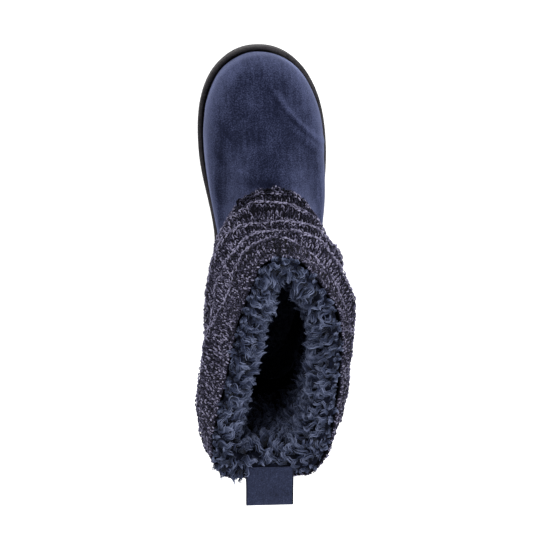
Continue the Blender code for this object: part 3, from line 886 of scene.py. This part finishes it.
def lock_roots(random):
    """Roots of the locks, in jittered rows over the crown and down the inside, and each one's sense."""
    rows = np.linspace(0.0, 1.0, 300)
    run = run_of(PILE_FACE.at(rows, 0.25))
    along, place, sense = [], [], []
    down, step = 0.0, 0
    while down < run[-1] * LOCKS_DOWN:
        row = np.interp(down, run, rows)
        pitch = LOCK_PITCH * mixed(1.0, DEEP_PITCH, eased((row - DEEP_START) / 0.2))
        count = int(run_of(PILE_FACE.at(row, np.linspace(0.0, 1.0, 200)))[-1] / pitch)
        jitter = random.uniform(-0.4, 0.4, count)
        place.append((np.arange(count) + 0.5 * (step % 2) + jitter) / count)
        along.append(row + random.uniform(-0.5, 0.5, count) * pitch / run[-1])
        at_edge = step < 2
        sense.append(np.full(count, -1.0 if at_edge else 1.0))
        down += pitch * (0.4 if at_edge else 1.0)
        step += 1
    along, place, sense = (np.concatenate(parts) for parts in (along, place, sense))
    along = np.clip(along, 0.0, 1.0)
    spot = PILE_FACE.at(along, place)
    beside = np.abs(spot[:, 0] - TAB_OFFSET) > 0.5 * TAB_WIDTH + TAB_CLEARANCE
    ahead = spot[:, 1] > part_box("pull_tab")[1].y + TAB_FORWARD + TAB_CLEARANCE
    kept = beside | ahead | (along > CROWN_SHARE)
    return along[kept], place[kept], sense[kept]


def make_locks():
    """The fleece's locks: bundles of fine strands that stand up, wave together and lie down inwards."""
    random = np.random.default_rng(5)
    along, place, sense = lock_roots(random)
    root = PILE_FACE.at(along, place)
    out, inward, around = PILE_FACE.lie(along, place)
    count = len(along)
    spill = np.exp(-(((np.mod(place, 1.0) - SPILL_PLACE) / SPILL_SPREAD) ** 2))
    sense = np.where((along < CROWN_SHARE) & (spill > 0.35), -1.0, sense)
    edge = sense < 0.0
    swing = SWING * np.sin(2 * math.pi * place * 9.0 + along * 23.0)
    swing = swing + random.normal(0.0, 0.45, count)
    swing = swing + edge * (1.0 - spill) * random.uniform(-math.pi, math.pi, count)
    flow = unit(sense[:, None] * inward * np.cos(swing)[:, None] + around * np.sin(swing)[:, None])
    across = unit(np.cross(out, flow))
    inside = eased((along - 0.6 * CROWN_SHARE) / (0.6 * CROWN_SHARE))
    length = LOCK_LENGTH * random.uniform(0.75, 1.25, count)
    length = length * np.where(edge, mixed(0.42, 0.95, spill), 1.0)
    stand = np.radians(mixed(*ROOT_ANGLES, inside) + random.normal(0.0, 9.0, count))
    rest = np.radians(mixed(*TIP_ANGLES, inside) + random.normal(0.0, 12.0, count))
    wave = random.uniform(0.55, 1.15, count) * random.choice([-1.0, 1.0], count)
    turns = random.uniform(0.75, 1.35, count)
    start = random.uniform(0.0, 2.0 * math.pi, count)
    width = LOCK_WIDTH * random.uniform(0.75, 1.2, count)
    # Painted shade: the locks' tone is darker the deeper down inside the boot they grow
    tone = random.uniform(0.0, 1.0, count) - DEEP_PAINTED_SHADE * eased((along - CROWN_SHARE) / 0.4)
    rings = len(STRAND_TAPER)
    t = np.linspace(0.0, 1.0, rings)
    middle = 0.5 * (t[1:] + t[:-1])
    paths, widths, lean, tones, marks = [], [], [], [], []
    for strand in range(LOCK_STRANDS):
        spot = (strand + 0.5) / LOCK_STRANDS * 2.0 - 1.0
        spot = spot + random.uniform(-0.15, 0.15, count)
        own = length * (1.0 - 0.18 * spot * spot) * random.uniform(0.85, 1.15, count)
        rise = mixed(stand[:, None], rest[:, None], middle ** 0.8) - 0.25 * (spot * spot)[:, None]
        phase = start + random.normal(0.0, 0.35, count)
        sway = wave[:, None] * np.sin(2.0 * math.pi * turns[:, None] * middle + phase[:, None])
        step = (
            flow[:, None] * (np.cos(rise) * np.cos(sway))[..., None]
            + across[:, None] * (np.cos(rise) * np.sin(sway))[..., None]
            + out[:, None] * np.sin(rise)[..., None]
        ) * (own / (rings - 1))[:, None, None]
        line = np.concatenate([np.zeros((count, 1, 3)), np.cumsum(step, axis=1)], axis=1)
        side = (0.5 * width * spot)[:, None] * (1.0 - 0.45 * t)
        lift = STRAND_ARCH * (1.0 - spot * spot) + random.normal(0.0, 0.0003, count) - STRAND_SINK
        moved = across[:, None] * side[..., None] + out[:, None] * lift[:, None, None]
        paths.append(root[:, None] + line + moved)
        widths.append((STRAND * random.uniform(0.8, 1.25, count))[:, None] * np.array(STRAND_TAPER))
        lean.append(out)
        own_tone = tone * 0.6 + random.normal(0.2, 0.22, count)
        tones.append(np.clip(own_tone, 0.0, 1.0)[:, None] * np.ones(rings))
        marks.append(np.ones((count, 1)) * t)
    parts = (paths, widths, lean, tones, marks)
    paths, widths, lean, tones, marks = (np.concatenate(part) for part in parts)
    template = thread_template(3, rings)
    order = np.argsort(np.tile(np.mod(place, 1.0), LOCK_STRANDS), kind="stable")
    for number, chosen in enumerate(np.array_split(order, LOCK_PIECES)):
        piece = threads(
            f"fleece_locks_{number + 1}", template, paths[chosen], widths[chosen], widths[chosen],
            lean[chosen], {"tone": tones[chosen], "along": marks[chosen]},
        )
        dress(piece, FLEECE_FINISH, "fleece")


def make_foot_lining():
    """The fleece that lines the foot, a soft wall inside the suede."""
    def place(along, around):
        face = along < 0.5
        rows = mixed(0.6, HEM_ROW - 0.1, np.where(face, along, 1.0 - along) / 0.5)
        lump = 0.0007 * np.sin(around * 230.0 + rows * 9.0) * np.sin(rows * 21.0 + around * 31.0)
        return SKIN.at(rows, around, -np.where(face, FOOT_LINING + lump, SUEDE_WALL + 2.0 * GAP))

    dress(sleeve("foot_lining", place, columns=80, levels=40), FOOTBED, "fleece")


def plan_points(around, outward):
    """The last's bottom outline, moved outwards in plan."""
    points = SKIN.at(0.0, around)
    run = SKIN.at(0.0, around + 0.002) - SKIN.at(0.0, around - 0.002)
    normal = unit(np.stack([run[:, 1], -run[:, 0], np.zeros(len(run))], axis=-1))
    return points + normal * outward[:, None]


def sole_profile():
    """The sole's side: outward, share of the way from the bottom to the tray, height above that."""
    ledge = LIP_WIDTH + LIP_CLEARANCE
    bevel, step, lip = SOLE_EDGE_BEVEL, FOXING_STEP, LIP_HEIGHT
    return np.array((
        (ledge - bevel, 0.0, 0.0),
        (ledge - step - 0.45 * bevel, 0.0, 0.14 * bevel),
        (ledge - step - 0.10 * bevel, 0.0, 0.45 * bevel),
        (ledge - step, 0.0, bevel),
        (ledge - step, 0.44, 0.0),
        (ledge - 0.85 * step, 0.45, 0.3 * step),
        (ledge - 0.10 * step, 0.45, 0.8 * step),
        (ledge, 0.45, 1.6 * step),
        (ledge, 1.0, 0.66 * lip),
        (ledge - 0.05 * LIP_WIDTH, 1.0, 0.84 * lip),
        (ledge - 0.20 * LIP_WIDTH, 1.0, 0.96 * lip),
        (ledge - 0.42 * LIP_WIDTH, 1.0, lip),
        (ledge - 0.72 * LIP_WIDTH, 1.0, 0.97 * lip),
        (ledge - 0.92 * LIP_WIDTH, 1.0, 0.86 * lip),
        (LIP_CLEARANCE, 1.0, 0.66 * lip),
        (LIP_CLEARANCE, 1.0, 0.0),
    ))


def tread_cutter():
    """All the tread's wavy grooves as one cutter, from boxes bent across the sole."""
    bm = bmesh.new()
    steps = 6
    for index in range(-int(HEEL_CENTRE / TREAD_PITCH), int((LAST_LENGTH - HEEL_CENTRE) / TREAD_PITCH)):
        y = np.array([(index + 0.5) * TREAD_PITCH])
        if ARCH_START < along_last(y)[0] < ARCH_END:
            continue
        groove = bmesh.ops.create_grid(bm, x_segments=steps, y_segments=1, size=0.5)["verts"]
        faces = list({face for vert in groove for face in vert.link_faces})
        grown = bmesh.ops.extrude_face_region(bm, geom=faces)["geom"]
        top = [item for item in grown if isinstance(item, bmesh.types.BMVert)]
        bmesh.ops.translate(bm, verts=top, vec=(0.0, 0.0, 1.0))
        for vert in groove + top:
            wave = TREAD_WAVE * (0.0 if round((vert.co.x + 0.5) * steps) % 2 else -2.0)
            vert.co = (
                vert.co.x * 2.0 * LAST_BALL_WIDTH + midline(y)[0],
                y[0] + vert.co.y * TREAD_GROOVE + wave,
                sole_bottom(y)[0] + TREAD_DEPTH * (4.0 * vert.co.z - 3.0),
            )
    return piece_from(bm, "tread_cutter")


def close_with_strips(bm, edges):
    """Closes a ring of the sole with strips from side to side, which follow the sole's curve."""
    verts = {vert for edge in edges for vert in edge.verts}
    toe, heel = max(verts, key=lambda vert: vert.co.y), min(verts, key=lambda vert: vert.co.y)
    sides = []
    for sense in (-1.0, 1.0):
        path, before = [toe], None
        while path[-1] != heel:
            near = [edge.other_vert(path[-1]) for edge in path[-1].link_edges if edge in edges]
            near = [vert for vert in near if vert != before]
            before = path[-1]
            path.append(min(near, key=lambda vert: sense * vert.co.x))
        sides.append(path)
    left, right = sides
    for step in range(max(len(left), len(right)) - 1):
        steps = ((left, step), (left, step + 1), (right, step + 1), (right, step))
        corners = [side[min(at, len(side) - 1)] for side, at in steps]
        bm.faces.new(list(dict.fromkeys(corners)))


def make_sole():
    """The rubber sole: a rounded lip, a step round the foxing, a tray and the cut tread."""
    profile = sole_profile()
    levels = np.linspace(0.0, 1.0, len(profile))

    def place(along, around):
        outward, share, above = (np.interp(along, levels, profile[:, index]) for index in range(3))
        points = plan_points(around, outward)
        points[:, 2] = mixed(sole_bottom(points[:, 1]), tray_level(points[:, 1]), share) + above
        return points

    sole = sleeve("rubber_sole", place, columns=220, levels=len(profile) - 1, closed=False)
    bm = bmesh.new()
    bm.from_mesh(sole.data)
    rims = [edge for edge in bm.edges if edge.is_boundary]
    low = {edge for edge in rims if edge.verts[0].co.z < 0.5 * SOLE_BALL_THICKNESS + TOE_SPRING * 0.5}
    close_with_strips(bm, low)
    close_with_strips(bm, set(rims) - low)
    bmesh.ops.recalc_face_normals(bm, faces=bm.faces)
    bm.to_mesh(sole.data)
    bm.free()
    cutter = tread_cutter()
    cut = sole.modifiers.new("tread", "BOOLEAN")
    cut.object = cutter
    cut.operation = "DIFFERENCE"
    baked = bpy.data.meshes.new_from_object(sole.evaluated_get(bpy.context.evaluated_depsgraph_get()))
    sole.modifiers.clear()
    sole.data = baked
    bpy.data.objects.remove(cutter)
    sole.data.shade_smooth()
    sole.data.set_sharp_from_angle(angle=math.radians(50.0))
    dress(sole, RUBBER, "rubber", "outsole")


def make_tab():
    """The pull tab: a suede strap folded double, standing back from the rim."""
    low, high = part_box("pull_tab")
    top, front, end, ply = high.z, high.y, low.y, TAB_PLY
    middle, seam, lip = 0.5 * (front + end), front - TAB_SEWN_END, front + TAB_FORWARD
    foot, fold = (low.z - top) / ply, mixed(seam, lip, 0.5)
    # Where each corner is: from which y, how many plies from it, and how many plies from the top
    corners = (
        (lip, 0.0, 0.2), (lip, 0.0, 1.1), (fold, 0.0, 0.9), (seam, 0.0, 0.3), (middle, 0.0, -0.25),
        (end, 1.2, -0.7), (end, 0.35, -1.05), (end, 0.0, -1.75), (end, 0.35, -2.4), (end, 1.2, -2.75),
        (middle, 0.0, -2.3), (seam, -2.0, -2.6), (seam, -1.15, -3.6), (seam, -1.05, foot),
        (seam, -0.05, foot), (seam, -0.05, -3.2), (seam, -0.3, -1.5), (fold, 0.0, -0.1),
    )
    outline = [(y + along * ply, top + up * ply) for y, along, up in corners]
    bm = bmesh.new()
    half = TAB_WIDTH / 2.0
    faces = [bm.faces.new([bm.verts.new((TAB_OFFSET - half, y, z)) for y, z in outline])]
    for width in [TAB_CUT_EDGE] + 8 * [TAB_WIDTH / 8.0 - TAB_CUT_EDGE / 4.0] + [TAB_CUT_EDGE]:
        grown = bmesh.ops.extrude_face_region(bm, geom=faces)["geom"]
        faces = [item for item in grown if isinstance(item, bmesh.types.BMFace)]
        moved = [item for item in grown if isinstance(item, bmesh.types.BMVert)]
        bmesh.ops.translate(bm, verts=moved, vec=(width, 0.0, 0.0))
    caps = [face for face in bm.faces if len(face.verts) == len(outline)]
    rims = list({edge for face in caps for edge in face.edges})
    bmesh.ops.bevel(bm, geom=rims, offset=0.0004, segments=2, profile=0.5, affect="EDGES", material=-1)
    piece = piece_from(bm, "suede_tab")
    piece.data.set_sharp_from_angle(angle=math.radians(60.0))
    # Darker along the cut sides, and painted shade along the folded end, where the strap turns away
    aside = np.array([abs(vert.co.x - TAB_OFFSET) for vert in piece.data.vertices])
    behind = np.array([vert.co.y for vert in piece.data.vertices]) < end + 0.2 * ply
    mark(piece.data, "slope", -TAB_EDGE_SHADE * ((aside > half - 0.5 * TAB_CUT_EDGE) | behind))
    dress(piece, TAB_SUEDE, "tab_suede", "pull_tab")


def make_floor():
    bm = bmesh.new()
    bmesh.ops.create_grid(bm, x_segments=1, y_segments=1, size=12.0)
    floor = piece_from(bm, "floor")
    material, _, shader = new_material("pale_floor", roughness=0.9, specular=0.2)
    fill(shader, {"Base Color": (0.92, 0.92, 0.92, 1.0), "Emission Color": WHITE, "Emission Strength": 0.5})
    floor.data.materials.append(material)


def area_light(name, place, target, size, power):
    light = bpy.data.lights.new(name, "AREA")
    light.shape = "DISK"
    light.size = size
    light.energy = power
    lamp = put(name, light)
    lamp.location = place
    lamp.rotation_euler = (Vector(target) - Vector(place)).to_track_quat("-Z", "Y").to_euler()


def make_light():
    """A bright white surround with soft lights above."""
    world = bpy.data.worlds.new("studio")
    world.use_nodes = True
    fill(world.node_tree.nodes["Background"], {"Color": WHITE, "Strength": 0.50})
    bpy.context.scene.world = world
    centre = (0.0, 0.08, 0.10)
    area_light("key_light", (1.1, -0.3, 1.4), centre, size=0.6, power=26.0)
    area_light("fill_light", (-0.6, 1.25, 1.25), centre, size=0.8, power=22.0)


def make_camera():
    back = Vector((
        -math.sin(VIEW_SIDE_TILT),
        math.sin(VIEW_FORWARD_TILT) * math.cos(VIEW_SIDE_TILT),
        math.cos(VIEW_FORWARD_TILT) * math.cos(VIEW_SIDE_TILT),
    ))
    up = (Vector((0.0, 1.0, 0.0)) - back * back.y).normalized()
    right = up.cross(back)
    camera = put("camera", bpy.data.cameras.new("camera"))
    camera.data.lens = VIEW_LENS
    camera.data.sensor_width = 36.0
    turned = Matrix((right, up, back)).transposed()
    camera.matrix_world = Matrix.Translation(VIEW_TARGET + back * VIEW_DISTANCE) @ turned.to_4x4()
    bpy.context.scene.camera = camera


SUEDE = suede_material("navy_suede", tint(2, 5, 15), tint(14, 19, 38), tint(78, 84, 116), 38.0)
TAB_SUEDE = suede_material("tab_suede", tint(5, 8, 18), tint(39, 44, 64), tint(98, 104, 130), 120.0)
KNIT_GROUND = cloth_material("knit_ground", tint(8, 8, 13), tint(20, 19, 27), 700.0, 0.0006)
YARN_FINISH = yarn_material()
# The fleece's backing near black: painted shade in the gaps between the locks and down in the boot
FLEECE_BACKING_PAINTED_SHADE = cloth_material("fleece_ground", tint(6, 8, 15), tint(20, 23, 36), 420.0, 0.0012)
FLEECE_FINISH = fleece_material()
FOOTBED = cloth_material("footbed_pile", tint(44, 49, 70), tint(84, 91, 118), 420.0, 0.0012)
RUBBER = rubber_material()

SKIN_ROWS = np.linspace(0.0, RIM_ROW, RIM_ROW * SKIN_STEPS + 1)
SKIN = Sheet(SKIN_ROWS, even_rings(section(SKIN_ROWS))[0])
KNIT_BACK, KNIT = knit_sheets()
PILE_FACE = pile_sheet(PILE_FLOOR)

make_camera()
make_floor()
make_light()
make_upper()
make_foot_lining()
make_sole()
make_knit_ground()
make_yarn()
make_fleece_ground()
make_locks()
make_tab()
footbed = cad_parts["insole"]
footbed.data.materials.clear()
footbed.data.materials.append(FOOTBED)
bpy.context.scene.view_settings.view_transform = "Standard"
